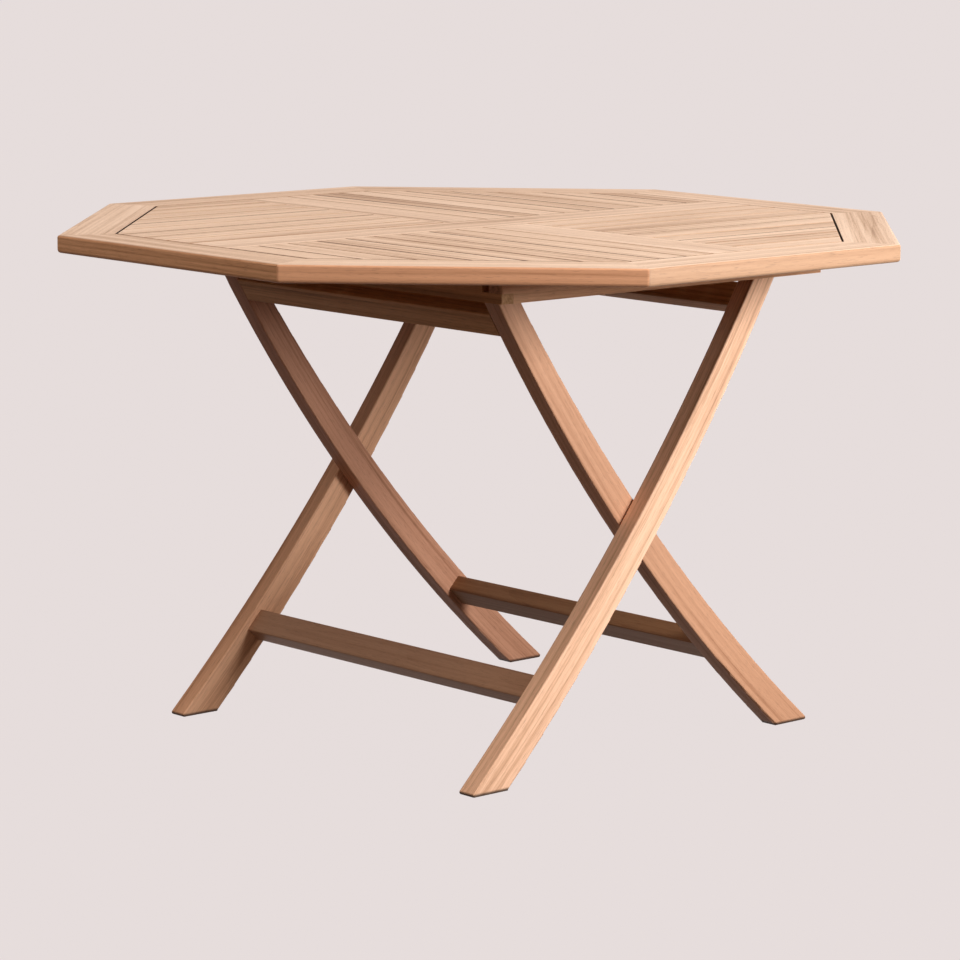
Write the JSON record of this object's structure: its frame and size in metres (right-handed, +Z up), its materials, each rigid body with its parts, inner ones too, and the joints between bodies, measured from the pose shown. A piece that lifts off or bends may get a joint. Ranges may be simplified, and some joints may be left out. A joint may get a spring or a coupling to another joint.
{
  "type": "folding garden table",
  "caption": "Octagonal slatted wooden garden table whose tilting top and crossed bowed leg frames fold flat for storage.",
  "frame": {"origin": "on the floor, under the middle of the top", "axes": "+Z up, X in the plane of the crossed legs with the hinge of the top at +X, Y along the rails between the legs with the front at -Y"},
  "size_m": [1.188, 1.188, 0.75],
  "materials": {
    "top_teak": "sanded, unvarnished",
    "frame_teak": "sanded, unvarnished",
    "stainless": "plain stainless",
    "brass": "turned"
  },
  "bodies": {
    "outer_frame": {"outer_leg_front": "frame_teak", "outer_leg_back": "frame_teak", "outer_stretcher": "frame_teak", "outer_top_rail": "frame_teak", "pivot_bolts": "stainless", "pivot_spacers": "stainless", "pivot_inserts": "brass"},
    "inner_frame": {"inner_leg_front": "frame_teak", "inner_leg_back": "frame_teak", "inner_stretcher": "frame_teak", "inner_top_rail": "frame_teak", "pivot_plugs": "frame_teak"},
    "top": {"border_right": "top_teak", "border_back_right": "top_teak", "border_back": "top_teak", "border_back_left": "top_teak", "border_left": "top_teak", "border_front_left": "top_teak", "border_front": "top_teak", "border_front_right": "top_teak", "mitre_splines": "top_teak", "spine_board": "top_teak", "half_spine_front": "top_teak", "half_spine_back": "top_teak", "lengthwise_slat_1": "top_teak", "lengthwise_slat_2": "top_teak", "lengthwise_slat_3": "top_teak", "lengthwise_slat_4": "top_teak", "lengthwise_slat_5": "top_teak", "lengthwise_slat_6": "top_teak", "lengthwise_slat_7": "top_teak", "lengthwise_slat_8": "top_teak", "lengthwise_slat_9": "top_teak", "crosswise_slat_1": "top_teak", "crosswise_slat_2": "top_teak", "crosswise_slat_3": "top_teak", "crosswise_slat_4": "top_teak", "crosswise_slat_5": "top_teak", "crosswise_slat_6": "top_teak", "crosswise_slat_7": "top_teak", "crosswise_slat_8": "top_teak", "crosswise_slat_9": "top_teak", "bearer_front": "frame_teak", "bearer_back": "frame_teak", "cross_bar": "frame_teak", "bearer_screws": "stainless", "hinge_bolts": "stainless", "hinge_spacers": "stainless", "hinge_washers": "stainless", "hinge_nuts": "stainless"}
  },
  "joints": [
    {"name": "top_tilt", "type": "hinge", "parent": "outer_frame", "child": "top", "pos_m": [0.25, 0, 0.704], "axis": [0, 1, 0], "range_deg": [0, 118]},
    {"name": "leg_fold", "type": "hinge", "parent": "outer_frame", "child": "inner_frame", "pos_m": [0.008, 0, 0.345], "axis": [0, 1, 0], "range_deg": [0, 60]}
  ],
  "couplings": [
    {"joint": "leg_fold", "follows": "top_tilt", "ratio": 0.508}
  ]
}
